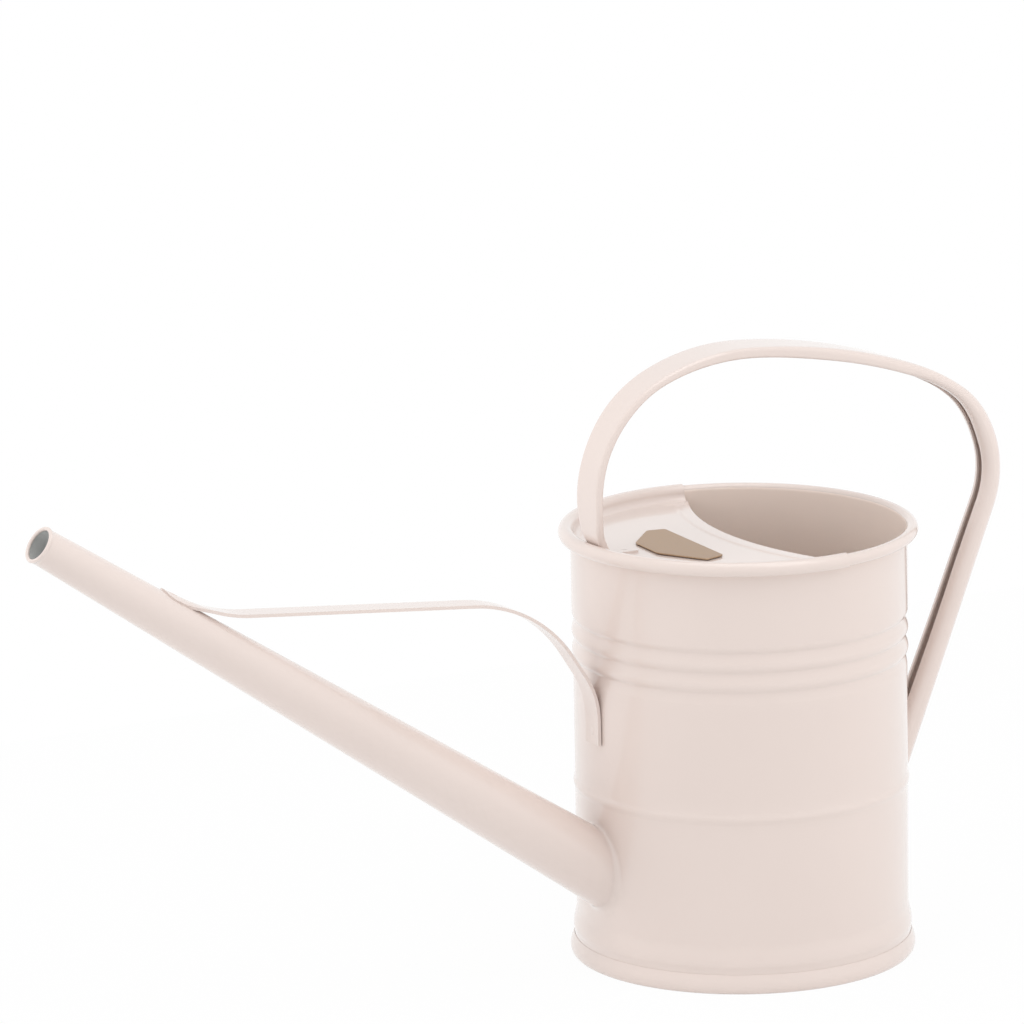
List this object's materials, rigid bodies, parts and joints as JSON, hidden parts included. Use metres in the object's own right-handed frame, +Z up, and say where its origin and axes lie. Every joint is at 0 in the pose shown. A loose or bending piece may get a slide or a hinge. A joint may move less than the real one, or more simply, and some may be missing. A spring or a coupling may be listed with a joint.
{
  "type": "watering can",
  "caption": "Small cream-painted sheet-metal watering can with a half-covered top, a bent channel-strap handle, a long straight spout on a strap brace, and a bare brass badge.",
  "frame": {"origin": "centre of the can's foot ring, on the ground that the can stands on", "axes": "+Z up the can's axis, -X towards the spout, +X towards the handle's rear leg, Y across the can"},
  "size_m": [0.3897, 0.1294, 0.223],
  "materials": {
    "cream_paint": "glossy powder coat",
    "badge_brass": "satin",
    "adhesive": "matte"
  },
  "bodies": {
    "root": {"body_shell": "cream_paint", "base_pan": "cream_paint", "top_cover": "cream_paint", "badge_plate": "badge_brass", "badge_adhesive": "adhesive", "handle": "cream_paint", "handle_front_weld": "cream_paint", "handle_rear_weld": "cream_paint", "spout_tube": "cream_paint", "spout_solder": "cream_paint", "brace": "cream_paint", "brace_spout_weld": "cream_paint", "brace_body_weld": "cream_paint"}
  },
  "joints": []
}
